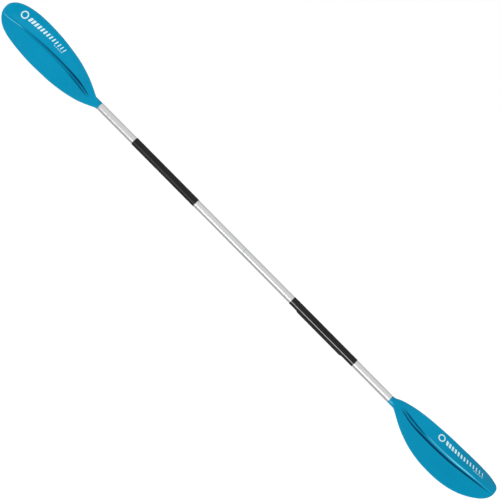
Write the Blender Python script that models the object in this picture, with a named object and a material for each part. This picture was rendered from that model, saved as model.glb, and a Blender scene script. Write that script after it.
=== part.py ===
"""Two-piece kayak paddle with feathered spoon blades and a snap-button ferrule.

Frame: +X runs along the shaft towards the right blade, +Z is up, and the right blade lies flat with
its power face up. The left blade is its mirror image, turned about the shaft by the feather angle.
The origin is the middle of the bottom of the whole paddle's box. Everything is in metres.
"""
import math

import bmesh
import bpy
from mathutils import Matrix, Vector

# Shaft and its two halves
PADDLE_LENGTH = 2.300
BLADE_LENGTH = 0.461
SHAFT_RADIUS = 0.014
TUBE_WALL = 0.0012
GAP = 0.0003
SIDES = 48

# Centre joint
MOUTH = 0.0008
FLANGE_THICKNESS = 0.0010
FLANGE_RADIUS = 0.0138
BUSH_LENGTH = 0.060
BUSH_WALL = 0.0006
FERRULE_WALL = 0.0012
FERRULE_FIXED_LENGTH = 0.075
FERRULE_FREE_LENGTH = 0.130
FEATHER_ANGLE = math.radians(60)
FEATHER_POSITIONS = 3
CAP_SPIGOT = 0.010
CAP_FLANGE = 0.0018
DRILL_OVERRUN = 0.002

# Snap button and its leaf spring
BUTTON_X = 0.085
BUTTON_RADIUS = 0.0032
BUTTON_TRAVEL = 0.0046
BUTTON_STANDS_OUT = 0.0022
BUTTON_DOME = 0.0010
BUTTON_HOLE_RADIUS = 0.0036
BUTTON_FOOT_RADIUS = 0.0042
BUTTON_FOOT = (0.0036, 0.0046)
LEAF_WIDTH = 0.008
LEAF_THICKNESS = 0.0006
LEAF_LENGTH = 0.044
LEAF_BEND_RADIUS = 0.0030
LEAF_STRAIGHT = 0.006
LEAF_LOWER_DEPTH = 0.0014

# Hand grips
GRIP_START = 0.228
GRIP_END = 0.523
GRIP_WALL = 0.0006
GRIP_LIP = 0.0003
SEAT_MARGIN = 0.002
SEAT_STEP = 0.00005
INDEX_START = 0.260
INDEX_END = 0.477
INDEX_RAMP = 0.007
INDEX_HEIGHT = 0.0028
INDEX_DIRECTION = math.radians(210)
INDEX_SPREAD = math.radians(60)
PAD_SPREAD = 0.6

# Rivets sit on the side of the shaft that faces away and down
RIVET_DIRECTION = math.radians(-60)
RIVET_SHANK_RADIUS = 0.0016
RIVET_HOLE_RADIUS = 0.0019
RIVET_HEAD_RADIUS = 0.0032
RIVET_HEAD_HEIGHT = 0.0011
RIVET_HEAD_EDGE = 0.0003
RIVET_DEPTH = 0.0055
RIVET_HOLE_MARGIN = 0.0006
FERRULE_RIVET_X = (-0.022, -0.055)

# Foam plugs that keep the tubes afloat
PLUG_LENGTH = 0.040
LEFT_PLUG_X = -0.120
RIGHT_PLUG_X = 0.150

# Blade: the tang sits in the tube, and the round neck runs on under the spoon as its spine
TANG_LENGTH = 0.060
TANG_CHAMFER = 0.0010
NECK_RADIUS = 0.0137
EDGE_THICKNESS = 0.0022
SHEET_THICKNESS = 0.0034
TIP_OFFSET = 0.0172
UPPER_TIP_POWER = 2.8
LOWER_TIP_POWER = 2.08
TIP_DRAW_IN = 0.92 * BLADE_LENGTH
TIP_TROUGH_SHARE = 0.15
TROUGH_FLOOR = 0.58
EDGE_LEAN = 0.0005
SPINE_WING_SHARE = 0.55
FACE_OPENS = (0.004, 0.045)
SPINE_SINKS = (0.022, 0.085)
NECK_EDGE_ANGLE = math.radians(27)
NECK_FLANK_ANGLE = math.radians(17)
FACE_CURVE = 1.8
SPINE_FILLET = 0.45
SIDE_COLUMNS = 6
TROUGH_COLUMNS = 4
FLANK_POINTS = 3
THROAT_LENGTH = 0.048
THROAT_STATIONS = 9
BLADE_STATIONS = 25
STATION_EVENNESS = 0.4
TIP_FLAT = 0.0004

# Curves along the blade as (distance from the neck's shoulder, value), joined by smooth cubics
UPPER_EDGE = ((0.0, 0.0122), (0.012, 0.0132), (0.018, 0.0163), (0.030, 0.0224), (0.048, 0.0309),
              (0.072, 0.0410), (0.100, 0.0505), (0.145, 0.0615), (0.190, 0.0683), (0.250, 0.0743),
              (0.310, 0.0768))
LOWER_EDGE = ((0.0, 0.0122), (0.012, 0.0146), (0.018, 0.0176), (0.030, 0.0233), (0.048, 0.0333),
              (0.072, 0.0457), (0.100, 0.0577), (0.130, 0.0676), (0.160, 0.0753), (0.190, 0.0805),
              (0.220, 0.0836), (0.262, 0.0848))
UPPER_HEIGHT = ((0.0, 0.0062), (0.012, 0.0075), (0.030, 0.0094), (0.060, 0.0041),
                (0.100, -0.0034), (0.145, -0.0105), (0.190, -0.0150), (0.240, -0.0179),
                (0.290, -0.0195), (0.340, -0.0176), (0.385, -0.0124), (0.415, -0.0058),
                (0.440, 0.0030), (0.461, 0.0180))
LOWER_HEIGHT = ((0.0, 0.0062), (0.012, 0.0089), (0.030, 0.0110), (0.060, 0.0067),
                (0.100, -0.0012), (0.145, -0.0083), (0.190, -0.0124), (0.230, -0.0138),
                (0.280, -0.0121), (0.330, -0.0078), (0.370, -0.0002), (0.400, 0.0088),
                (0.430, 0.0168), (0.461, 0.0205))
CENTRE_HEIGHT = ((0.0, 0.0137), (0.015, 0.0137), (0.040, 0.0122), (0.068, 0.0074),
                 (0.102, -0.0032), (0.136, -0.0097), (0.170, -0.0126), (0.205, -0.0139),
                 (0.237, -0.0133), (0.270, -0.0109), (0.304, -0.0062), (0.338, 0.0008),
                 (0.371, 0.0080), (0.405, 0.0148), (0.440, 0.0198), (0.461, 0.0205))
KEEL_DEPTH = ((0.0, 0.0274), (0.030, 0.0268), (0.068, 0.0215), (0.105, 0.0165), (0.160, 0.0125),
              (0.230, 0.0098), (0.330, 0.0066), (0.430, 0.0040), (0.461, 0.0030))
SPINE_HALF_WIDTH = ((0.0, 0.0137), (0.040, 0.0137), (0.120, 0.0120), (0.250, 0.0085),
                    (0.461, 0.0040))
TROUGH_CENTRE = ((0.0, 0.0), (0.070, 0.0008), (0.130, 0.0008), (0.200, 0.0016),
                 (0.300, 0.0030), (0.461, 0.0060))
TROUGH_HALF_WIDTH = ((0.0, 0.0040), (0.050, 0.0056), (0.085, 0.0088), (0.110, 0.0096),
                     (0.160, 0.0088), (0.230, 0.0084), (0.340, 0.0070), (0.420, 0.0046),
                     (0.461, 0.0026))
TROUGH_DEPTH = ((0.0, 0.0), (0.048, 0.0), (0.085, 0.0055), (0.110, 0.0058), (0.200, 0.0047),
                (0.330, 0.0034), (0.420, 0.0018), (0.448, 0.0), (0.461, 0.0))

TUBE_INNER = SHAFT_RADIUS - TUBE_WALL
FIT_RADIUS = TUBE_INNER - GAP
FERRULE_FREE_RADIUS = FIT_RADIUS - BUSH_WALL - GAP
FERRULE_BORE = FERRULE_FREE_RADIUS - FERRULE_WALL
SHOULDER = PADDLE_LENGTH / 2 - BLADE_LENGTH
LEFT, RIGHT = -1, 1

COLOURS = {
    "blade_blue": ((0.003, 0.290, 0.480), 0.32, 0.0),
    "tube_silver": ((0.780, 0.785, 0.790), 0.28, 1.0),
    "grip_black": ((0.022, 0.022, 0.023), 0.55, 0.0),
    "pad_grey": ((0.060, 0.060, 0.062), 0.60, 0.0),
    "bush_grey": ((0.520, 0.530, 0.540), 0.45, 0.0),
    "ferrule_aluminium": ((0.700, 0.705, 0.710), 0.35, 1.0),
    "steel": ((0.560, 0.570, 0.580), 0.25, 1.0),
    "plug_foam": ((0.180, 0.180, 0.190), 0.90, 0.0),
    "cap_black": ((0.030, 0.030, 0.032), 0.50, 0.0),
}


def clear_scene():
    """Remove every object of the scene that the script starts in."""
    for item in list(bpy.data.objects):
        bpy.data.objects.remove(item, do_unlink=True)


def make_materials():
    """One Principled material for each finish, by name."""
    made = {}
    for name, (colour, roughness, metallic) in COLOURS.items():
        mat = bpy.data.materials.new(name)
        mat.use_nodes = True
        shader = mat.node_tree.nodes["Principled BSDF"]
        shader.inputs["Base Color"].default_value = (*colour, 1.0)
        shader.inputs["Roughness"].default_value = roughness
        shader.inputs["Metallic"].default_value = metallic
        made[name] = mat
    return made


def make_frame(name, parent=None):
    """An empty on the shaft's axis that the pieces of one half hang from."""
    empty = bpy.data.objects.new(name, None)
    bpy.context.scene.collection.objects.link(empty)
    empty.parent = parent
    return empty


def make_piece(name, bm, finish, parent, location=(0, 0, 0), turn=Matrix.Identity(3)):
    """Turn a finished bmesh into a named object with smooth round faces and sharp corners."""
    bmesh.ops.remove_doubles(bm, verts=bm.verts, dist=1e-7)
    bmesh.ops.recalc_face_normals(bm, faces=bm.faces)
    mesh = bpy.data.meshes.new(name)
    bm.to_mesh(mesh)
    bm.free()
    mesh.shade_smooth()
    mesh.set_sharp_from_angle(angle=math.radians(35))
    mesh.materials.append(MATERIALS[finish])
    piece = bpy.data.objects.new(name, mesh)
    bpy.context.scene.collection.objects.link(piece)
    piece.parent = parent
    piece.location = location
    piece.rotation_euler = turn.to_euler()
    return piece


def turned(profile, sides=SIDES):
    """A body turned about X from a closed outline of (x, radius) points.

    The outline starts half a side round, so that flats face straight along Y and Z.
    """
    bm = bmesh.new()
    half_side = math.pi / sides
    start = Vector((0, math.cos(half_side), math.sin(half_side)))
    corners = [bm.verts.new(Vector((x, 0, 0)) + start * r) for x, r in profile]
    edges = []
    for a, b in zip(corners, corners[1:] + corners[:1]):
        edges.append(bm.edges.new((a, b)))
    bmesh.ops.spin(bm, geom=corners + edges, cent=(0, 0, 0), axis=(1, 0, 0),
                   angle=math.tau, steps=sides, use_merge=True)
    bmesh.ops.dissolve_degenerate(bm, edges=bm.edges, dist=1e-7)
    return bm


def radial(direction):
    """The rotation that points a body's own X axis out from the shaft at an angle from +Y."""
    outward = Vector((0, math.cos(direction), math.sin(direction)))
    along = Vector((1, 0, 0))
    return Matrix((outward, along, outward.cross(along))).transposed()


def drill(target, x, direction, radius, reach):
    """Cut a round hole inwards through one wall of a piece, between two distances from the axis."""
    inner, outer = reach
    bm = turned([(inner, 0), (inner, radius), (outer, radius), (outer, 0)], sides=24)
    cutter = make_piece("cut_" + target.name, bm, "steel", target.parent,
                        location=(x, 0, 0), turn=radial(direction))
    cutter.hide_render = True
    cutter.display_type = "WIRE"
    hole = target.modifiers.new("hole", "BOOLEAN")
    hole.operation = "DIFFERENCE"
    hole.solver = "EXACT"
    hole.object = cutter


def tube_outline(start, end, seat_end):
    """A shaft tube's wall; past its bare clip seat it is drawn a touch slimmer to the blade."""
    return [(start, TUBE_INNER), (end, TUBE_INNER), (end, SHAFT_RADIUS - SEAT_STEP),
            (seat_end, SHAFT_RADIUS), (start, SHAFT_RADIUS)]


def smooth_curve(points):
    """A function through the given points, by cubics that never overshoot them."""
    xs = [x for x, _ in points]
    ys = [y for _, y in points]
    steps = [(ys[i + 1] - ys[i]) / (xs[i + 1] - xs[i]) for i in range(len(xs) - 1)]
    slopes = [steps[0]]
    for before, after in zip(steps, steps[1:]):
        level = before * after <= 0
        slopes.append(0.0 if level else 2 * before * after / (before + after))
    slopes.append(steps[-1])

    def value(x):
        x = min(max(x, xs[0]), xs[-1])
        i = max(k for k in range(len(steps)) if xs[k] <= x)
        width = xs[i + 1] - xs[i]
        t = (x - xs[i]) / width
        rise = (3 - 2 * t) * t * t
        bend_a = t * (1 - t) ** 2 * width * slopes[i]
        bend_b = t * t * (t - 1) * width * slopes[i + 1]
        return ys[i] + (ys[i + 1] - ys[i]) * rise + bend_a + bend_b

    return value


def blend_step(low, high, x):
    """0 below low, 1 above high, and a smooth step between them."""
    t = min(max((x - low) / (high - low), 0.0), 1.0)
    return t * t * (3 - 2 * t)


upper_edge_curve = smooth_curve(UPPER_EDGE)
lower_edge_curve = smooth_curve(LOWER_EDGE)
upper_height = smooth_curve(UPPER_HEIGHT)
lower_height = smooth_curve(LOWER_HEIGHT)
centre_height = smooth_curve(CENTRE_HEIGHT)
keel_depth = smooth_curve(KEEL_DEPTH)
spine_half_width = smooth_curve(SPINE_HALF_WIDTH)
trough_centre = smooth_curve(TROUGH_CENTRE)
trough_half_width = smooth_curve(TROUGH_HALF_WIDTH)
trough_depth = smooth_curve(TROUGH_DEPTH)


def tip_round(s, start, power):
    """The fall from 1 to 0 of a rounded corner between its start and the blade's tip."""
    t = (s - start) / (BLADE_LENGTH - start)
    return max(0.0, 1 - t ** power) ** (1 / power)


def edge_line(s, curve, points, tip, power):
    """How far an edge lies from the shaft's line: its curve, then its rounded corner to the tip."""
    start, full = points[-1]
    if s <= start:
        return curve(s)
    return tip + (full - tip) * tip_round(s, start, power)


def upper_edge(s):
    """Where the upper edge lies across the shaft's line."""
    return edge_line(s, upper_edge_curve, UPPER_EDGE, TIP_OFFSET, UPPER_TIP_POWER)


def lower_edge(s):
    """Where the lower edge lies across the shaft's line, on the other side."""
    return -edge_line(s, lower_edge_curve, LOWER_EDGE, -TIP_OFFSET, LOWER_TIP_POWER)


def middle_line(s):
    """The trough's line and half width, drawn in to the middle of the rounded tip."""
    low, high = lower_edge(s), upper_edge(s)
    middle = trough_centre(s)
    to_tip = blend_step(TIP_DRAW_IN, BLADE_LENGTH, s)
    middle += ((low + high) / 2 - middle) * to_tip
    return middle, min(trough_half_width(s), TIP_TROUGH_SHARE * (high - low))


def lean(s):
    """How far the edge's two corners lean on the round neck, where they follow its circle."""
    return EDGE_LEAN * (1 - blend_step(*FACE_OPENS, s))


def face_height(s, e, middle):
    """The power face's height at a place across the blade, without the trough."""
    edge_at = upper_edge(s) - lean(s) if e > middle else lower_edge(s) + lean(s)
    edge = (upper_height(s) if e > middle else lower_height(s)) + EDGE_THICKNESS / 2
    x = min(abs((e - middle) / (edge_at - middle)), 1.0)
    half = NECK_RADIUS * math.cos(NECK_EDGE_ANGLE)
    floor = NECK_RADIUS * math.sin(NECK_EDGE_ANGLE)
    round_shape = (math.sqrt(NECK_RADIUS ** 2 - (x * half) ** 2) - floor) / (NECK_RADIUS - floor)
    sheet = blend_step(*FACE_OPENS, s)
    shape = (1 - sheet) * round_shape + sheet * (1 - x ** FACE_CURVE)
    return edge + (centre_height(s) - edge) * shape


def front_points(s, middle, half):
    """The power face from its lower to its upper edge."""
    low, high = lower_edge(s) + lean(s), upper_edge(s) - lean(s)
    columns = []
    for i in range(SIDE_COLUMNS):
        reach = math.cos(i / SIDE_COLUMNS * math.pi / 2)
        columns.append(middle - half + (low - middle + half) * reach)
    for i in range(TROUGH_COLUMNS + 1):
        columns.append(middle + half * (2 * i / TROUGH_COLUMNS - 1))
    for i in reversed(range(SIDE_COLUMNS)):
        reach = math.cos(i / SIDE_COLUMNS * math.pi / 2)
        columns.append(middle + half + (high - middle - half) * reach)
    points = []
    for e in columns:
        trough = trough_depth(s) * (1 - blend_step(TROUGH_FLOOR, 1.0, abs(e - middle) / half))
        points.append((e, face_height(s, e, middle) - trough))
    return points


def back_points(s, middle, edge_at, edge_height, count):
    """The back from one edge in under its wing, then round the spine, up to but not at the keel."""
    sign = 1 if edge_at > middle else -1
    sunk = blend_step(*SPINE_SINKS, s)
    corner = Vector((edge_at + sign * lean(s), edge_height - EDGE_THICKNESS / 2))
    width = min(spine_half_width(s),
                SPINE_WING_SHARE * abs(edge_at - middle) + NECK_RADIUS * (1 - sunk))
    spine_at = middle * sunk
    fillet = 1 + SPINE_FILLET * sunk
    flank_e = spine_at + sign * width * fillet
    under = face_height(s, flank_e, middle) - SHEET_THICKNESS
    keel = centre_height(s) - keel_depth(s)
    flank_turn = (1 - sunk) * NECK_FLANK_ANGLE
    top = sunk * under
    points = []
    for i in range(FLANK_POINTS):
        t = i / FLANK_POINTS
        arc_start = Vector((sign * NECK_RADIUS * math.cos(NECK_FLANK_ANGLE),
                            NECK_RADIUS * math.sin(NECK_FLANK_ANGLE)))
        straight = corner.lerp(arc_start, t)
        e = corner.x + (flank_e - corner.x) * t
        thickness = EDGE_THICKNESS + (SHEET_THICKNESS - EDGE_THICKNESS) * min(1.0, 2 * t)
        sheet = Vector((e, face_height(s, e, middle) - thickness)) if i else corner
        points.append(straight.lerp(sheet, sunk))
    arc = count - FLANK_POINTS
    for i in range(arc):
        turn = flank_turn - (flank_turn + math.pi / 2) * i / arc
        out = math.cos(turn) + SPINE_FILLET * sunk * (1 - abs(math.sin(turn))) ** 2
        points.append(Vector((spine_at + sign * width * out, top + (top - keel) * math.sin(turn))))
    return [(p.x, p.y) for p in points]


def blade_section(s):
    """The blade's closed section at a distance from the shoulder, as (across, height) points."""
    middle, half = middle_line(s)
    front = front_points(s, middle, half)
    count = len(front) // 2
    upper = back_points(s, middle, upper_edge(s), upper_height(s), count)
    lower = back_points(s, middle, lower_edge(s), lower_height(s), count)
    sunk = blend_step(*SPINE_SINKS, s)
    keel = (middle * sunk, centre_height(s) - keel_depth(s))
    return front + upper + [keel] + lower[::-1]


def round_section(radius):
    """The tang's round section, with as many points as the blade's section."""
    scale = radius / NECK_RADIUS
    return [(e * scale, z * scale) for e, z in blade_section(0.0)]


def blade_stations():
    """Distances along the blade: even through the throat, then closer together towards the tip."""
    stations = [GAP + (THROAT_LENGTH - GAP) * i / THROAT_STATIONS for i in range(THROAT_STATIONS)]
    rest = BLADE_LENGTH - TIP_FLAT - THROAT_LENGTH
    for i in range(BLADE_STATIONS + 1):
        t = i / BLADE_STATIONS
        eased = math.sin(t * math.pi / 2)
        share = STATION_EVENNESS * t + (1 - STATION_EVENNESS) * eased
        stations.append(THROAT_LENGTH + rest * share)
    return stations


def blade_body(side):
    """The moulded blade with its neck and tang, lofted along X on the given side."""
    sections = [(-TANG_LENGTH, round_section(FIT_RADIUS - TANG_CHAMFER)),
                (-TANG_LENGTH + TANG_CHAMFER, round_section(FIT_RADIUS)),
                (GAP, round_section(FIT_RADIUS))]
    sections += [(s, blade_section(s)) for s in blade_stations()]
    bm = bmesh.new()
    rings = []
    for s, outline in sections:
        ring = [bm.verts.new((side * (SHOULDER + s), e, z)) for e, z in outline]
        rings.append(ring)
    for a, b in zip(rings, rings[1:]):
        for i in range(len(a)):
            j = (i + 1) % len(a)
            bm.faces.new((a[i], a[j], b[j], b[i]))
    bm.faces.new(rings[0])
    tip = rings[-1]
    half = len(tip) // 2
    for i in range(half - 1):
        bm.faces.new((tip[i], tip[i + 1], tip[-i - 2], tip[-i - 1]))
    return bm


def index_rise(x, direction, spread):
    """How far the right grip swells over its index pad at a place on its surface."""
    turn = abs((direction - INDEX_DIRECTION + math.pi) % math.tau - math.pi)
    if turn >= spread:
        return 0.0
    along = blend_step(INDEX_START, INDEX_START + INDEX_RAMP, x)
    along *= 1 - blend_step(INDEX_END - INDEX_RAMP, INDEX_END, x)
    return INDEX_HEIGHT * along * math.cos(turn / INDEX_SPREAD * math.pi / 2) ** 2


def grip_body(side, swells):
    """A thin sleeve over the tube, swollen over the index pad on the right half."""
    inner = SHAFT_RADIUS + GAP
    outer = inner + GRIP_WALL
    stations = [GRIP_START, GRIP_START + GRIP_LIP]
    if swells:
        for start in (INDEX_START, INDEX_END - INDEX_RAMP):
            stations += [start + INDEX_RAMP * i / 4 for i in range(5)]
    stations += [GRIP_END - GRIP_LIP, GRIP_END]
    bm = bmesh.new()
    loops = []
    for x in stations:
        ends = x in (GRIP_START, GRIP_END)
        for radius in (inner, outer - GRIP_LIP if ends else outer):
            loop = []
            for i in range(SIDES):
                angle = (i + 0.5) * math.tau / SIDES
                r = radius + (index_rise(x, angle, INDEX_SPREAD) if swells else 0.0)
                loop.append(bm.verts.new((side * x, r * math.cos(angle), r * math.sin(angle))))
            loops.append(loop)
    strips = [(0, 1), (len(loops) - 2, len(loops) - 1)]
    for i in range(0, len(loops) - 2, 2):
        strips += [(i, i + 2), (i + 1, i + 3)]
    for a, b in strips:
        for i in range(SIDES):
            j = (i + 1) % SIDES
            bm.faces.new((loops[a][i], loops[a][j], loops[b][j], loops[b][i]))
    return bm


def index_pad_body():
    """The strip under the right grip that the knuckles feel: round inside, crowned outside."""
    spread = PAD_SPREAD * INDEX_SPREAD
    steps = 10
    bm = bmesh.new()
    rings = []
    for x in (INDEX_START + INDEX_RAMP, INDEX_END - INDEX_RAMP):
        ring = []
        for i in range(steps + 1):
            angle = INDEX_DIRECTION + spread * (2 * i / steps - 1)
            r = SHAFT_RADIUS + index_rise(x, angle, INDEX_SPREAD)
            ring.append(bm.verts.new((x, r * math.cos(angle), r * math.sin(angle))))
        for i in reversed(range(steps + 1)):
            angle = INDEX_DIRECTION + spread * (2 * i / steps - 1)
            r = SHAFT_RADIUS + GAP
            ring.append(bm.verts.new((x, r * math.cos(angle), r * math.sin(angle))))
        rings.append(ring)
    count = len(rings[0])
    for i in range(count):
        j = (i + 1) % count
        bm.faces.new((rings[0][i], rings[0][j], rings[1][j], rings[1][i]))
    for ring in rings:
        for i in range(steps):
            bm.faces.new((ring[i], ring[i + 1], ring[count - i - 2], ring[count - i - 1]))
    return bm


def leaf_spring_body():
    """A hairpin leaf, squeezed: one leg under the pressed button, the other on the far wall."""
    upper = BUTTON_FOOT[0] - GAP - LEAF_THICKNESS / 2
    lower = -(FERRULE_BORE - LEAF_LOWER_DEPTH)
    free_x = BUTTON_X + LEAF_STRAIGHT
    bend_x = free_x - LEAF_LENGTH
    path = [Vector((free_x, upper)), Vector((BUTTON_X - LEAF_STRAIGHT, upper))]
    for i in range(9):
        angle = math.pi / 2 + math.pi * i / 8
        path.append(Vector((bend_x + LEAF_BEND_RADIUS * math.cos(angle),
                            LEAF_BEND_RADIUS * math.sin(angle))))
    path += [Vector((BUTTON_X - LEAF_STRAIGHT, lower)), Vector((free_x, lower))]
    sides = ([], [])
    for i, point in enumerate(path):
        before = path[max(i - 1, 0)]
        after = path[min(i + 1, len(path) - 1)]
        along = (after - before).normalized()
        normal = Vector((-along.y, along.x)) * (LEAF_THICKNESS / 2)
        sides[0].append(point + normal)
        sides[1].append(point - normal)
    bm = bmesh.new()
    layers = []
    for z in (-LEAF_WIDTH / 2, LEAF_WIDTH / 2):
        layers.append([[bm.verts.new((p.x, p.y, z)) for p in line] for line in sides])
    for i in range(len(path) - 1):
        for line in (0, 1):
            a, b = layers[0][line], layers[1][line]
            bm.faces.new((a[i], a[i + 1], b[i + 1], b[i]))
        for layer in layers:
            a, b = layer
            bm.faces.new((a[i], a[i + 1], b[i + 1], b[i]))
    for i in (0, len(path) - 1):
        bm.faces.new((layers[0][0][i], layers[0][1][i], layers[1][1][i], layers[1][0][i]))
    return bm


def rivet_body(depth):
    """A domed rivet turned about its own axis, its head's underside a gap above the tube."""
    seat = SHAFT_RADIUS + GAP
    crown = []
    for i in range(5):
        angle = i / 4 * math.pi / 2
        rise = RIVET_HEAD_EDGE + (RIVET_HEAD_HEIGHT - RIVET_HEAD_EDGE) * math.sin(angle)
        crown.append((seat + rise, RIVET_HEAD_RADIUS * math.cos(angle)))
    crown[-1] = (seat + RIVET_HEAD_HEIGHT, 0.0)
    profile = [(SHAFT_RADIUS - depth, 0.0), (SHAFT_RADIUS - depth, RIVET_SHANK_RADIUS),
               (seat, RIVET_SHANK_RADIUS), (seat, RIVET_HEAD_RADIUS)] + crown
    return turned(profile, sides=24)


def button_body():
    """The snap button, pressed in: a wide foot in the ferrule and a domed pin in its hole."""
    top = SHAFT_RADIUS + BUTTON_STANDS_OUT - BUTTON_TRAVEL
    foot_low, foot_high = BUTTON_FOOT
    dome = []
    for i in range(5):
        angle = i / 4 * math.pi / 2
        dome.append((top - BUTTON_DOME + BUTTON_DOME * math.sin(angle),
                     BUTTON_RADIUS - BUTTON_DOME + BUTTON_DOME * math.cos(angle)))
    profile = [(foot_low, 0.0), (foot_low, BUTTON_FOOT_RADIUS), (foot_high, BUTTON_FOOT_RADIUS),
               (foot_high, BUTTON_RADIUS)] + dome + [(top, 0.0)]
    return turned(profile, sides=24)


def add_blade(name, side, half):
    """One blade; the left one is turned about the shaft by the feather angle."""
    feather = FEATHER_ANGLE if side == LEFT else 0.0
    return make_piece(name, blade_body(side), "blade_blue", half,
                      turn=Matrix.Rotation(feather, 3, "X"))


def add_rivet(name, x, depth, half, through):
    """A rivet on the hidden side of the shaft, with its hole in each piece it goes through."""
    make_piece(name, rivet_body(depth), "steel", half, location=(x, 0, 0),
               turn=radial(RIVET_DIRECTION))
    for target in through:
        drill(target, x, RIVET_DIRECTION, RIVET_HOLE_RADIUS,
              (SHAFT_RADIUS - depth - RIVET_HOLE_MARGIN, SHAFT_RADIUS + DRILL_OVERRUN))


def add_shaft_half(side, half):
    """What the two halves share: tube, blade, blade rivet, grip and foam plug."""
    word = "left" if side == LEFT else "right"
    outline = tube_outline(side * MOUTH, side * SHOULDER, side * (GRIP_START - SEAT_MARGIN))
    tube = make_piece(word + "_tube", turned(outline), "tube_silver", half)
    blade = add_blade(word + "_blade", side, half)
    add_rivet(word + "_blade_rivet", side * (SHOULDER - TANG_LENGTH / 2), RIVET_DEPTH, half,
              [tube, blade])
    make_piece(word + "_grip", grip_body(side, side == RIGHT), "grip_black", half)
    plug_x = LEFT_PLUG_X if side == LEFT else RIGHT_PLUG_X
    ends = (plug_x, plug_x + PLUG_LENGTH)
    make_piece(word + "_float_plug",
               turned([(ends[0], 0), (ends[0], FIT_RADIUS), (ends[1], FIT_RADIUS), (ends[1], 0)]),
               "plug_foam", half)
    return tube


def add_ferrule(half, left_tube):
    """The stepped ferrule riveted in the left tube, with its end cap."""
    profile = [(-FERRULE_FIXED_LENGTH, FERRULE_BORE), (FERRULE_FREE_LENGTH, FERRULE_BORE),
               (FERRULE_FREE_LENGTH, FERRULE_FREE_RADIUS), (-MOUTH, FERRULE_FREE_RADIUS),
               (-MOUTH, FIT_RADIUS), (-FERRULE_FIXED_LENGTH, FIT_RADIUS)]
    ferrule = make_piece("ferrule_tube", turned(profile), "ferrule_aluminium", half)
    drill(ferrule, BUTTON_X, 0.0, BUTTON_HOLE_RADIUS, (FERRULE_BORE - DRILL_OVERRUN, SHAFT_RADIUS))
    for name, x in zip(("ferrule_rivet_near_seam", "ferrule_rivet_far"), FERRULE_RIVET_X):
        add_rivet(name, x, RIVET_DEPTH, half, [left_tube, ferrule])
    cap_x = FERRULE_FREE_LENGTH
    profile = [(cap_x - CAP_SPIGOT, 0), (cap_x - CAP_SPIGOT, FERRULE_BORE - GAP),
               (cap_x + GAP, FERRULE_BORE - GAP), (cap_x + GAP, FERRULE_FREE_RADIUS - GAP),
               (cap_x + CAP_FLANGE, FERRULE_FREE_RADIUS - 2 * GAP), (cap_x + CAP_FLANGE, 0)]
    make_piece("ferrule_cap", turned(profile), "cap_black", half)


def add_button(half):
    """The leaf spring and the snap button it pushes out along +Y."""
    make_piece("button_spring", leaf_spring_body(), "steel", half)
    make_piece("snap_button", button_body(), "steel", half, location=(BUTTON_X, 0, 0),
               turn=radial(0.0))


def add_mouth_bush(parent):
    """The flanged liner in the right tube's mouth: it runs on the ferrule and shows at the seam."""
    inner = FIT_RADIUS - BUSH_WALL
    front = -FLANGE_THICKNESS / 2
    profile = [(front, inner), (BUSH_LENGTH, inner), (BUSH_LENGTH, FIT_RADIUS),
               (-front, FIT_RADIUS), (-front, FLANGE_RADIUS), (front, FLANGE_RADIUS)]
    make_piece("mouth_bush", turned(profile), "bush_grey", parent)


def stand_on_origin(paddle):
    """Move the whole paddle so that the middle of its box's bottom is at the origin."""
    bpy.context.view_layer.update()
    graph = bpy.context.evaluated_depsgraph_get()
    points = []
    for item in bpy.context.scene.objects:
        if item.type == "MESH" and not item.hide_render:
            shown = item.evaluated_get(graph)
            points += [shown.matrix_world @ v.co for v in shown.data.vertices]
    low = Vector(min(p[i] for p in points) for i in range(3))
    high = Vector(max(p[i] for p in points) for i in range(3))
    paddle.location = -Vector(((low.x + high.x) / 2, (low.y + high.y) / 2, low.z))
    bpy.context.view_layer.update()


def build_paddle():
    """Build both halves and the joint between them."""
    paddle = make_frame("paddle")
    left_half = make_frame("left_half", paddle)
    bush_frame = make_frame("bush_axis", paddle)
    right_half = make_frame("right_half", bush_frame)
    left_tube = add_shaft_half(LEFT, left_half)
    right_tube = add_shaft_half(RIGHT, right_half)
    make_piece("right_index_pad", index_pad_body(), "pad_grey", right_half)
    add_ferrule(left_half, left_tube)
    add_button(left_half)
    add_mouth_bush(bush_frame)
    for i in range(FEATHER_POSITIONS):
        drill(right_tube, BUTTON_X, -i * FEATHER_ANGLE, BUTTON_HOLE_RADIUS,
              (TUBE_INNER - DRILL_OVERRUN, SHAFT_RADIUS + DRILL_OVERRUN))
    stand_on_origin(paddle)


clear_scene()
MATERIALS = make_materials()
build_paddle()
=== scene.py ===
"""The looks of a two-piece kayak paddle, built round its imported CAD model, in metres.

The shaft runs along X. Each blade is lofted from sections across the shaft's line, at distances
from the shoulder where its neck meets the tube. "Across" is towards the blade's upper edge, and
"height" is out of its power face. The left blade is the right one mirrored along X and turned
about the shaft by the feather angle.
"""

import math

import bmesh
import bpy
from mathutils import Matrix, Vector


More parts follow.
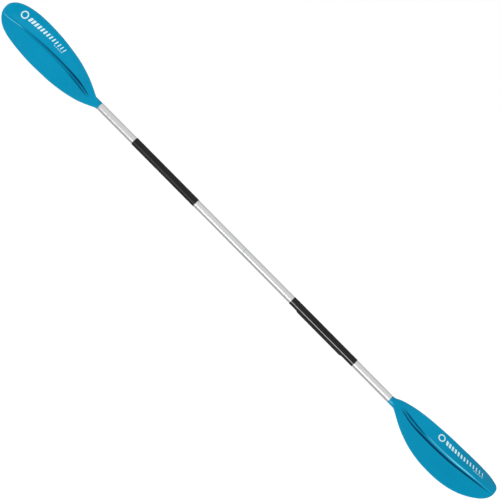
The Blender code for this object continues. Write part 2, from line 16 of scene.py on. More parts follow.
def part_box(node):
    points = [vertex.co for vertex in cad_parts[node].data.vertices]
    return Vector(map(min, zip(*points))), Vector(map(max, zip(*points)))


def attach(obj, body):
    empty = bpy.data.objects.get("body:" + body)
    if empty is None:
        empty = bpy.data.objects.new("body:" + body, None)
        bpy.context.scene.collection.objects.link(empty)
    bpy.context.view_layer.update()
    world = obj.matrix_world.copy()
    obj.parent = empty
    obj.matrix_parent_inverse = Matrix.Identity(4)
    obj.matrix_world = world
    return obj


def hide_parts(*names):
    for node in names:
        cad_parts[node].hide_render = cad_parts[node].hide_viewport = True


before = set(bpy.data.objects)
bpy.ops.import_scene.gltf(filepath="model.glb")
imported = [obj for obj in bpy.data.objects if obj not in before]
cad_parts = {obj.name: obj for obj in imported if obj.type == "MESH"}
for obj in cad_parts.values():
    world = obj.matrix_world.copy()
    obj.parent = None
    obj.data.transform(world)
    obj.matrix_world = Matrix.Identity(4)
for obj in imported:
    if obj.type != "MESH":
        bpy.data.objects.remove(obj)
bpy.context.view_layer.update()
BOXES = {node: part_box(node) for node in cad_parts}

LEFT, RIGHT = -1, 1
WORDS = {LEFT: "left", RIGHT: "right"}
FEATHER_ANGLE = math.radians(60)
GAP = 0.0003


def shaft_line():
    """The height and place across of the shaft's axis."""
    low, high = BOXES["left_tube"]
    return (low.y + high.y) / 2, (low.z + high.z) / 2


AXIS_Y, AXIS_Z = shaft_line()


def outer_radius(node):
    """The greatest distance of a CAD node's points from the shaft's axis."""
    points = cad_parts[node].data.vertices
    return max(math.hypot(v.co.y - AXIS_Y, v.co.z - AXIS_Z) for v in points)


def inner_radius(node):
    """The least distance of a CAD node's points from the shaft's axis."""
    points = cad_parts[node].data.vertices
    return min(math.hypot(v.co.y - AXIS_Y, v.co.z - AXIS_Z) for v in points)


def linked(name, data):
    """A new object in the scene."""
    made = bpy.data.objects.new(name, data)
    bpy.context.scene.collection.objects.link(made)
    return made


def meshed(name, bm):
    """A mesh from a bmesh, which is freed."""
    mesh = bpy.data.meshes.new(name)
    bm.to_mesh(mesh)
    bm.free()
    return mesh


SHAFT_RADIUS = outer_radius("left_tube")
TUBE_INNER = inner_radius("left_tube")
SHOULDER = BOXES["right_tube"][1].x
BLADE_LENGTH = BOXES["right_blade"][1].x - SHOULDER
MOUTH = BOXES["right_tube"][0].x
BUTTON_X = (BOXES["snap_button"][0].x + BOXES["snap_button"][1].x) / 2

# ---------------------------------------------------------------- camera, floor and light

CAMERA_ELEVATION = math.radians(60)
CAMERA_ROLL = math.radians(45.27)
CAMERA_YAW = math.radians(3.15)
CAMERA_DISTANCE = 5.6
VIEW_WIDTH = 1.6697
AIM_RIGHT, AIM_UP = 0.0202, 0.0051
SENSOR_WIDTH = 36.0
FLOOR_DROP = 0.9
FLOOR_SIZE = 60.0
CLIP_END = 200
# The surround's levels, at places from straight down to straight up
SKY_LEVELS = ((0.0, 0.50), (0.42, 0.50), (0.56, 0.60), (1.0, 0.78))
STRIP_AT = (0.9, -2.9, 1.45)
STRIP_SIZE = (4.4, 0.45)
STRIP_POWER = 34
BOX_AT = (4.6, -5.4, 9.6)
BOX_SIZE = (6.3, 3.4)
BOX_POWER = 410


def make_camera():
    """A long lens above and in front of the shaft, rolled so that the paddle runs corner to corner."""
    back = Vector((0, -math.cos(CAMERA_ELEVATION), math.sin(CAMERA_ELEVATION)))
    up_shaft = Vector((0, math.sin(CAMERA_ELEVATION), math.cos(CAMERA_ELEVATION)))
    along = Vector((1, 0, 0))
    right = along * math.cos(CAMERA_ROLL) + up_shaft * math.sin(CAMERA_ROLL)
    up = -along * math.sin(CAMERA_ROLL) + up_shaft * math.cos(CAMERA_ROLL)
    yaw = Matrix.Rotation(CAMERA_YAW, 3, up_shaft)
    right, up, back = yaw @ right, yaw @ up, yaw @ back
    middle = Vector((0, AXIS_Y, AXIS_Z))
    place = middle + right * AIM_RIGHT + up * AIM_UP + back * CAMERA_DISTANCE
    data = bpy.data.cameras.new("camera")
    data.sensor_width = SENSOR_WIDTH
    data.lens = SENSOR_WIDTH * CAMERA_DISTANCE / VIEW_WIDTH
    data.clip_end = CLIP_END
    camera = linked("camera", data)
    camera.matrix_world = Matrix.Translation(place) @ Matrix((right, up, back)).transposed().to_4x4()
    bpy.context.scene.camera = camera


def make_area_light(name, place, target, size, power):
    """A soft box that faces a target and isn't seen itself."""
    data = bpy.data.lights.new(name, "AREA")
    data.shape = "RECTANGLE"
    data.size, data.size_y = size
    data.energy = power
    light = linked(name, data)
    light.location = place
    light.rotation_euler = (Vector(target) - Vector(place)).to_track_quat("-Z", "Y").to_euler()
    light.visible_camera = False
    return light


def make_world():
    """A pale studio surround, brightest overhead and greyer below the horizon."""
    world = bpy.data.worlds.new("studio")
    bpy.context.scene.world = world
    world.use_nodes = True
    nodes, links = world.node_tree.nodes, world.node_tree.links
    coordinates = nodes.new("ShaderNodeTexCoord")
    split = nodes.new("ShaderNodeSeparateXYZ")
    ramp = nodes.new("ShaderNodeValToRGB")
    spread = nodes.new("ShaderNodeMapRange")
    spread.inputs["From Min"].default_value = -1.0
    spread.inputs["From Max"].default_value = 1.0
    links.new(coordinates.outputs["Generated"], split.inputs[0])
    links.new(split.outputs["Z"], spread.inputs["Value"])
    links.new(spread.outputs["Result"], ramp.inputs["Fac"])
    for place, _ in SKY_LEVELS[1:-1]:
        ramp.color_ramp.elements.new(place)
    for element, (_, level) in zip(ramp.color_ramp.elements, SKY_LEVELS):
        element.color = (level, level, level, 1)
    links.new(ramp.outputs["Color"], nodes["Background"].inputs["Color"])


def make_floor(material):
    """A plain floor far enough below the paddle that no edge of a shadow falls on it."""
    bm = bmesh.new()
    bmesh.ops.create_grid(bm, x_segments=1, y_segments=1, size=FLOOR_SIZE / 2)
    floor = linked("floor", meshed("floor", bm))
    floor.data.materials.append(material)
    floor.location.z = -FLOOR_DROP
    floor.visible_glossy = False


def make_studio():
    """The camera, the surround and two soft boxes."""
    make_camera()
    make_world()
    make_area_light("strip_front", STRIP_AT, (0, AXIS_Y, AXIS_Z), STRIP_SIZE, STRIP_POWER)
    fill = make_area_light("box_by_camera", BOX_AT, (0, 0, 0), BOX_SIZE, BOX_POWER)
    fill.visible_glossy = False
    bpy.context.scene.view_settings.view_transform = "Standard"


# ---------------------------------------------------------------- materials


class Finish:
    """A node material whose colour, roughness and relief come from procedural textures."""

    def __init__(self, name, roughness, metallic=0.0, **sockets):
        self.material = bpy.data.materials.new(name)
        self.material.use_nodes = True
        self.nodes = self.material.node_tree.nodes
        self.links = self.material.node_tree.links
        self.shader = self.nodes["Principled BSDF"]
        self.shader.inputs["Roughness"].default_value = roughness
        self.shader.inputs["Metallic"].default_value = metallic
        for socket, value in sockets.items():
            self.shader.inputs[socket.replace("_", " ")].default_value = value
        self.place = self.nodes.new("ShaderNodeTexCoord").outputs["Object"]
        self.normal = None

    def node(self, kind, **values):
        """A new node, its inputs linked to outputs or set to plain values."""
        node = self.nodes.new("ShaderNode" + kind)
        for name, value in values.items():
            self.feed(node.inputs[name.replace("_", " ")], value)
        return node

    def feed(self, socket, value):
        """Link an output to a socket, or set the socket to a plain value."""
        if isinstance(value, bpy.types.NodeSocket):
            self.links.new(value, socket)
        else:
            socket.default_value = value

    def stretched(self, stretch):
        """The object's own coordinates, scaled along each axis."""
        return self.node("Mapping", Vector=self.place, Scale=stretch).outputs["Vector"]

    def noise(self, size, detail=2.0, stretch=(1, 1, 1), warp=0.0):
        """Noise with features of about a size in metres."""
        node = self.node("TexNoise", Vector=self.stretched(stretch), Scale=1 / size, Detail=detail,
                         Distortion=warp)
        return node.outputs["Fac"]

    def grains(self, size, stretch=(1, 1, 1)):
        """Rounded cells of about a size in metres, as distances from their middles."""
        node = self.node("TexVoronoi", Vector=self.stretched(stretch), Scale=1 / size)
        return node.outputs["Distance"]

    def stored(self, name):
        """A value stored on the mesh's points."""
        node = self.node("Attribute")
        node.attribute_name = name
        return node.outputs["Fac"]

    def ranged(self, value, from_range, to_range):
        """A value carried from one range to another and held inside it."""
        node = self.node("MapRange", Value=value, From_Min=from_range[0], From_Max=from_range[1],
                         To_Min=to_range[0], To_Max=to_range[1])
        return node.outputs["Result"]

    def share(self, value, low, high):
        """A value carried to 0 at a low level and 1 at a high one."""
        return self.ranged(value, (low, high), (0, 1))

    def shades(self, value, low, high, first, second):
        """One colour where a value is low, another where it is high."""
        return self.mixed(self.share(value, low, high), first, second)

    def product(self, a, b):
        """Two values multiplied."""
        node = self.node("Math")
        node.operation = "MULTIPLY"
        for socket, value in zip(node.inputs, (a, b)):
            self.links.new(value, socket)
        return node.outputs["Value"]

    def mixed(self, factor, a, b):
        """Two colours, or a colour output and a colour, mixed by a factor."""
        node = self.node("Mix", Factor=factor)
        node.data_type = "RGBA"
        for socket, value in zip(node.inputs[6:8], (a, b)):
            self.feed(socket, (*value, 1) if isinstance(value, tuple) else value)
        return node.outputs[2]

    def colour(self, output):
        """Use a colour output as the base colour."""
        self.links.new(output, self.shader.inputs["Base Color"])

    def roughness(self, value, low, high):
        """Let a texture move the roughness between two levels."""
        self.links.new(self.ranged(value, (0.25, 0.75), (low, high)), self.shader.inputs["Roughness"])

    def relief(self, height, depth, strength=1.0):
        """Add a bump of a depth in metres on top of the reliefs so far."""
        node = self.node("Bump", Height=height, Distance=depth, Strength=strength)
        if self.normal:
            self.links.new(self.normal, node.inputs["Normal"])
        self.normal = node.outputs["Normal"]
        self.links.new(self.normal, self.shader.inputs["Normal"])


def blade_plastic():
    """Glossy cyan moulding: faint flow marks, a fine skin, a paler scuffed rim, painted shade and
    highlights.
    """
    finish = Finish("blade_plastic", 0.3, Specular_IOR_Level=0.14,
                    Specular_Tint=(0.25, 0.75, 1.0, 1.0))
    flow = finish.noise(0.09, 3.0, (0.35, 1, 1), 0.6)
    base = finish.shades(flow, 0.3, 0.7, (0.0008, 0.238, 0.415), (0.0014, 0.256, 0.440))
    scuffs = finish.noise(0.0016, 4.0, (0.25, 1, 1))
    worn = finish.product(finish.stored("rim"), finish.share(scuffs, 0.52, 0.68))
    base = finish.mixed(worn, base, (0.09, 0.42, 0.56))
    # Painted shade: the trough's walls and floor darkened where shade falls
    base = finish.mixed(finish.stored("painted_shade"), base, (0.0003, 0.028, 0.090))
    # Painted highlight: a pale line along the trough's edge and a pale streak on the right neck
    finish.colour(finish.mixed(finish.stored("painted_highlight"), base, (0.20, 0.68, 0.85)))
    finish.roughness(finish.noise(0.012, 4.0), 0.24, 0.34)
    finish.relief(finish.noise(0.0007, 2.0), 0.00002, 0.5)
    finish.relief(finish.noise(0.035, 1.0, (0.5, 1, 1)), 0.0004, 0.25)
    hairs = finish.noise(0.0012, 2.0, (0.02, 1, 1), 0.4)
    finish.relief(finish.share(hairs, 0.68, 0.74), 0.00002, 0.35)
    return finish.material


def tube_aluminium():
    """Clear-anodised drawn tube: silk sheen, drawing lines along it and a few handling marks."""
    finish = Finish("tube_aluminium", 0.27, 1.0)
    lines = finish.noise(0.0006, 3.0, (0.01, 1, 1))
    cloud = finish.noise(0.06, 3.0, (0.3, 1, 1))
    base = finish.shades(cloud, 0.3, 0.7, (0.80, 0.805, 0.81), (0.86, 0.863, 0.868))
    finish.colour(finish.shades(lines, 0.35, 0.65, base, (0.82, 0.824, 0.83)))
    finish.roughness(finish.noise(0.004, 4.0, (0.06, 1, 1)), 0.265, 0.305)
    finish.relief(lines, 0.000002, 0.25)
    rubs = finish.noise(0.003, 2.0, (1, 0.12, 0.12), 0.8)
    finish.relief(finish.share(rubs, 0.70, 0.76), 0.000003, 0.1)
    return finish.material


def ferrule_aluminium():
    """Plain drawn tube with the rings and streaks that sliding in and out leaves."""
    finish = Finish("ferrule_aluminium", 0.35, 1.0)
    streaks = finish.noise(0.0009, 3.0, (0.02, 1, 1))
    finish.colour(finish.shades(streaks, 0.35, 0.7, (0.62, 0.625, 0.63), (0.76, 0.765, 0.77)))
    finish.roughness(finish.noise(0.002, 4.0, (0.1, 1, 1)), 0.28, 0.46)
    rings = finish.noise(0.0012, 2.0, (1, 0.03, 0.03))
    finish.relief(rings, 0.00001, 0.4)
    finish.relief(streaks, 0.00001, 0.5)
    return finish.material


def stainless_steel():
    """Pressed stainless steel with fine scratches."""
    finish = Finish("stainless_steel", 0.22, 1.0)
    cloud = finish.noise(0.0018, 3.0)
    finish.colour(finish.shades(cloud, 0.35, 0.65, (0.50, 0.505, 0.51), (0.62, 0.622, 0.625)))
    finish.roughness(finish.noise(0.0009, 4.0), 0.16, 0.34)
    finish.relief(finish.noise(0.0004, 3.0, (0.15, 1, 1)), 0.000008, 0.5)
    return finish.material


def grip_rubber():
    """Black sleeve with a fine pebbled skin and faint lines along it."""
    finish = Finish("grip_rubber", 0.55, Specular_IOR_Level=0.22)
    cloud = finish.noise(0.02, 4.0, (0.4, 1, 1))
    finish.colour(finish.shades(cloud, 0.3, 0.7, (0.008, 0.008, 0.0084), (0.0135, 0.0135, 0.014)))
    finish.roughness(finish.noise(0.004, 4.0), 0.44, 0.60)
    finish.relief(finish.grains(0.0010), 0.00006, 0.6)
    finish.relief(finish.noise(0.0022, 2.0, (0.04, 1, 1)), 0.00008, 0.4)
    return finish.material


def stripe_and_sheen_finish(name, fresh, worn):
    """The line along a grip: inlaid paint on the right grip, a painted sheen on the left one."""
    finish = Finish(name, 0.5)
    wear = finish.noise(0.0035, 4.0, (0.3, 1, 1))
    finish.colour(finish.shades(wear, 0.35, 0.7, fresh, worn))
    finish.roughness(finish.noise(0.001, 2.0), 0.42, 0.58)
    finish.relief(finish.noise(0.0008, 2.0), 0.00002, 0.5)
    return finish.material


def print_ink():
    """Pale pad-printed ink, a little thin in places."""
    finish = Finish("print_ink", 0.4)
    thin = finish.noise(0.0025, 5.0)
    finish.colour(finish.shades(thin, 0.40, 0.75, (0.66, 0.82, 0.86), (0.44, 0.70, 0.78)))
    finish.roughness(finish.noise(0.0012, 3.0), 0.34, 0.48)
    finish.relief(finish.noise(0.0006, 2.0), 0.00001, 0.5)
    return finish.material


def soft_plastic(name, dark, light):
    """Plain moulded plastic with a mottled, finely textured skin."""
    finish = Finish(name, 0.5)
    cloud = finish.noise(0.004, 4.0)
    finish.colour(finish.shades(cloud, 0.3, 0.7, dark, light))
    finish.roughness(finish.noise(0.002, 3.0), 0.42, 0.6)
    finish.relief(finish.noise(0.0005, 2.0), 0.00002, 0.5)
    return finish.material


def plug_foam():
    """Closed-cell foam, matt, with small open pores at its cut faces."""
    finish = Finish("plug_foam", 0.9)
    pores = finish.grains(0.0016)
    finish.colour(finish.shades(pores, 0.1, 0.7, (0.12, 0.12, 0.125), (0.21, 0.21, 0.22)))
    finish.roughness(finish.noise(0.002, 3.0), 0.82, 0.96)
    finish.relief(pores, 0.0003, 0.7)
    return finish.material


def floor_finish():
    """A plain near-white floor."""
    finish = Finish("floor_finish", 0.9, Emission_Color=(1, 1, 1, 1), Emission_Strength=0.16)
    cloud = finish.noise(1.5, 2.0)
    finish.colour(finish.mixed(cloud, (0.93, 0.93, 0.93), (0.95, 0.95, 0.95)))
    return finish.material


# ---------------------------------------------------------------- blade


TANG_LENGTH = -(BOXES["right_blade"][0].x - SHOULDER)
TANG_RADIUS = TUBE_INNER - GAP
NECK_RADIUS = 0.0137
SHOULDER_ROUNDING = 0.0005
RIM_THICKNESS = 0.0022
SHEET_THICKNESS = 0.0034
TIP_OFFSET = 0.0172
UPPER_TIP_POWER = 2.8
LOWER_TIP_POWER = 2.08
FACE_OPENS = (0.004, 0.045)
SPINE_SINKS = (0.022, 0.085)
NECK_EDGE_ANGLE = math.radians(27)
NECK_FLANK_ANGLE = math.radians(17)
FACE_CURVE = 1.8
SPINE_FILLET = 0.45
TROUGH_FLOOR = 0.58
# How the painted shade in the trough and the painted highlights on its edge and on the neck are spread
SHADE_FADE = {1: 0.70, -1: 0.90}
PAINTED_SHADE_STRENGTH = 0.97
WALL_TOP = (0.85, 1.15)
WALL_FOOT = (0.50, 0.85)
PAINTED_HIGHLIGHT_WIDTH = 0.32
PAINTED_HIGHLIGHT_CORE = 0.3
NECK_PAINTED_HIGHLIGHT_AT = -0.0116
NECK_PAINTED_HIGHLIGHT_WIDTH = 0.0042
NECK_PAINTED_HIGHLIGHT_CORE = 0.1
SIDE_COLUMNS = 30
TROUGH_COLUMNS = 34
TROUGH_REACH = 1.7
TROUGH_LIMIT = 0.45
TROUGH_SHARE = 0.15
TIP_BLEND = 0.97
SLOPE_STEP = 0.00002
SPINE_WING_SHARE = 0.55
SHEET_GROWTH = (0.0, 0.7)
SOFTENING_PASSES = 3
KEPT_BY_RIM = 8
TANG_CHAMFER = 0.08
TANG_NOSE = 0.001
ROUNDING_STEP = 0.3
TIP_END = 0.00001
FLANK_POINTS = 20
THROAT_END = 0.060
BODY_END = 0.400
THROAT_STATIONS = 36
BODY_STATIONS = 80
TIP_STATIONS = 34
CURVE_SAMPLES = 600
CURVE_SMOOTHING = 60
RIM_WEAR_WIDTH = 0.0045


def blend_step(start, end, x):
    """0 before start, 1 after end, and a smooth S between them."""
    t = min(max((x - start) / (end - start), 0.0), 1.0)
    return t * t * (3 - 2 * t)


def cubic_curve(points):
    """A function through the given points, by cubics that never overshoot them."""
    xs = [x for x, _ in points]
    ys = [y for _, y in points]
    steps = [(ys[i + 1] - ys[i]) / (xs[i + 1] - xs[i]) for i in range(len(xs) - 1)]
    slopes = [steps[0]]
    for before, after in zip(steps, steps[1:]):
        level = before * after <= 0
        slopes.append(0.0 if level else 2 * before * after / (before + after))
    slopes.append(steps[-1])

    def value(x):
        i = 0
        while i < len(xs) - 2 and x > xs[i + 1]:
            i += 1
        width = xs[i + 1] - xs[i]
        t = min(max((x - xs[i]) / width, 0.0), 1.0)
        start = ys[i] * (1 + 2 * t) * (1 - t) ** 2 + slopes[i] * width * t * (1 - t) ** 2
        end = ys[i + 1] * t * t * (3 - 2 * t) - slopes[i + 1] * width * t * t * (1 - t)
        return start + end

    return value


def faired_curve(points):
    """The same curve, faired so that its bend changes evenly too."""
    raw = cubic_curve(points)
    low, high = points[0][0], points[-1][0]
    pitch = (high - low) / CURVE_SAMPLES
    values = [raw(low + pitch * i) for i in range(CURVE_SAMPLES + 1)]
    for _ in range(CURVE_SMOOTHING):
        inside = [(a + 2 * b + c) / 4 for a, b, c in zip(values, values[1:], values[2:])]
        values = [values[0]] + inside + [values[-1]]

    def value(x):
        place = min(max((x - low) / pitch, 0.0), CURVE_SAMPLES - 1e-9)
        i = int(place)
        return values[i] + (values[i + 1] - values[i]) * (place - i)

    return value


def per_side(right, left):
    """A faired curve for each blade."""
    return {RIGHT: faired_curve(right), LEFT: faired_curve(left)}


# Curves along the blade as (distance from the shoulder, value) points
UPPER_EDGE = ((0.0, 0.0122), (0.012, 0.0132), (0.018, 0.0163), (0.030, 0.0224), (0.048, 0.0309),
    (0.072, 0.0410), (0.100, 0.0505), (0.145, 0.0615), (0.190, 0.0683), (0.250, 0.0743),
    (0.310, 0.07679))
LOWER_EDGE = ((0.0, 0.0122), (0.012, 0.0146), (0.018, 0.0176), (0.030, 0.0233), (0.048, 0.0333),
    (0.072, 0.0457), (0.100, 0.0577), (0.130, 0.0676), (0.160, 0.0753), (0.190, 0.0805),
    (0.220, 0.0835), (0.262, 0.0847))
upper_height = faired_curve(((0.0, 0.0062), (0.012, 0.0075), (0.030, 0.0094), (0.060, 0.0041),
    (0.100, -0.0034), (0.145, -0.0105), (0.190, -0.0150), (0.240, -0.0179), (0.290, -0.0195),
    (0.340, -0.0176), (0.385, -0.0124), (0.415, -0.0058), (0.440, 0.0030), (0.461, 0.0180)))
lower_height = faired_curve(((0.0, 0.0062), (0.012, 0.0089), (0.030, 0.0110), (0.060, 0.0067),
    (0.100, -0.0012), (0.145, -0.0083), (0.190, -0.0124), (0.230, -0.0138), (0.280, -0.0121),
    (0.330, -0.0078), (0.370, -0.0002), (0.400, 0.0088), (0.430, 0.0168), (0.461, 0.0205)))
centre_height = faired_curve(((0.0, 0.0137), (0.015, 0.0137), (0.040, 0.0122), (0.068, 0.0074),
    (0.102, -0.0032), (0.136, -0.0097), (0.170, -0.0126), (0.205, -0.0139), (0.237, -0.0133),
    (0.270, -0.0109), (0.304, -0.0062), (0.338, 0.0008), (0.371, 0.0080), (0.405, 0.0148),
    (0.440, 0.0198), (0.461, 0.0205)))
keel_depth = faired_curve(((0.0, 0.0274), (0.030, 0.0268), (0.068, 0.0215), (0.105, 0.0165),
    (0.160, 0.0125), (0.230, 0.0098), (0.330, 0.0066), (0.430, 0.0040), (0.461, 0.0030)))
spine_half_width = faired_curve(((0.0, 0.0137), (0.040, 0.0137), (0.120, 0.0120), (0.250, 0.0085),
    (0.461, 0.0040)))
trough_centre = faired_curve(((0.0, 0.0), (0.070, 0.0008), (0.130, 0.0008), (0.200, 0.0016),
    (0.300, 0.0030), (0.461, 0.0060)))
trough_half_width = faired_curve(((0.0, 0.0040), (0.050, 0.0056), (0.085, 0.0088), (0.110, 0.0096),
    (0.160, 0.0088), (0.230, 0.0084), (0.340, 0.0070), (0.420, 0.0046), (0.461, 0.0026)))
trough_depth = faired_curve(((0.0, 0.0), (0.048, 0.0), (0.085, 0.0055), (0.110, 0.0058),
    (0.200, 0.0046), (0.330, 0.0034), (0.420, 0.0018), (0.448, 0.0), (0.461, 0.0)))
upper_edge_curve = faired_curve(UPPER_EDGE)
lower_edge_curve = faired_curve(LOWER_EDGE)

# How the painted shade and the painted highlights change along each blade: how far the dark side's
# painted shade reaches across, how dark each wall is painted, how pale the painted highlight on the
# trough's edge is and where it lies, and how pale the painted highlight on the neck is
SHADE_REACH = per_side(
    ((0.0, 0.20), (0.110, 0.25), (0.165, 0.60), (0.461, 0.60)),
    ((0.0, 0.35), (0.080, 0.40), (0.110, 0.65), (0.175, 0.65), (0.300, 0.9), (0.461, 1.0)))
SHADED_WALL = per_side(
    ((0.0, 0.0), (0.046, 0.0), (0.065, 0.85), (0.090, 1.0), (0.350, 0.98), (0.400, 0.85),
     (0.450, 0.10), (0.461, 0.0)),
    ((0.0, 0.0), (0.046, 0.0), (0.065, 0.90), (0.130, 1.0), (0.175, 0.85), (0.275, 0.60),
     (0.345, 0.30), (0.400, 0.10), (0.430, 0.0), (0.461, 0.0)))
LIT_WALL = per_side(
    ((0.0, 0.0), (0.046, 0.0), (0.065, 0.85), (0.090, 1.0), (0.140, 0.95), (0.195, 0.0), (0.461, 0.0)),
    ((0.0, 0.0), (0.046, 0.0), (0.065, 0.60), (0.130, 0.65), (0.180, 0.15), (0.300, 0.0), (0.461, 0.0)))
RIM_PAINTED_HIGHLIGHT = per_side(
    ((0.0, 0.0), (0.160, 0.0), (0.200, 0.28), (0.255, 0.38), (0.295, 0.90), (0.355, 1.0),
     (0.395, 0.25), (0.450, 0.05), (0.461, 0.0)),
    ((0.0, 0.0), (0.365, 0.0), (0.385, 0.60), (0.420, 0.65), (0.448, 0.75), (0.456, 0.0), (0.461, 0.0)))
PAINTED_HIGHLIGHT_AT = per_side(
    ((0.0, 1.0), (0.461, 1.0)),
    ((0.0, 0.15), (0.380, 0.15), (0.400, 0.45), (0.430, 1.20), (0.461, 1.60)))
NECK_PAINTED_HIGHLIGHT = per_side(
    ((0.0, 0.0), (0.002, 0.35), (0.010, 0.48), (0.022, 0.0), (0.461, 0.0)),
    ((0.0, 0.0), (0.461, 0.0)))


def tip_round(s, start, power):
    """The fall from 1 to 0 of a rounded corner between its start and the blade's tip."""
    t = min((s - start) / (BLADE_LENGTH - start), 1.0)
    return max(0.0, 1 - t ** power) ** (1 / power)


def edge_line(s, curve, points, tip, power):
    """How far an edge lies from the shaft's line: its curve, then its rounded corner."""
    start, full = points[-1]
    if s <= start:
        return curve(s)
    return tip + (full - tip) * tip_round(s, start, power)


def upper_edge(s):
    """Where the upper edge lies across the shaft's line."""
    return edge_line(s, upper_edge_curve, UPPER_EDGE, TIP_OFFSET, UPPER_TIP_POWER)


def lower_edge(s):
    """Where the lower edge lies across the shaft's line, on the other side."""
    return -edge_line(s, lower_edge_curve, LOWER_EDGE, -TIP_OFFSET, LOWER_TIP_POWER)


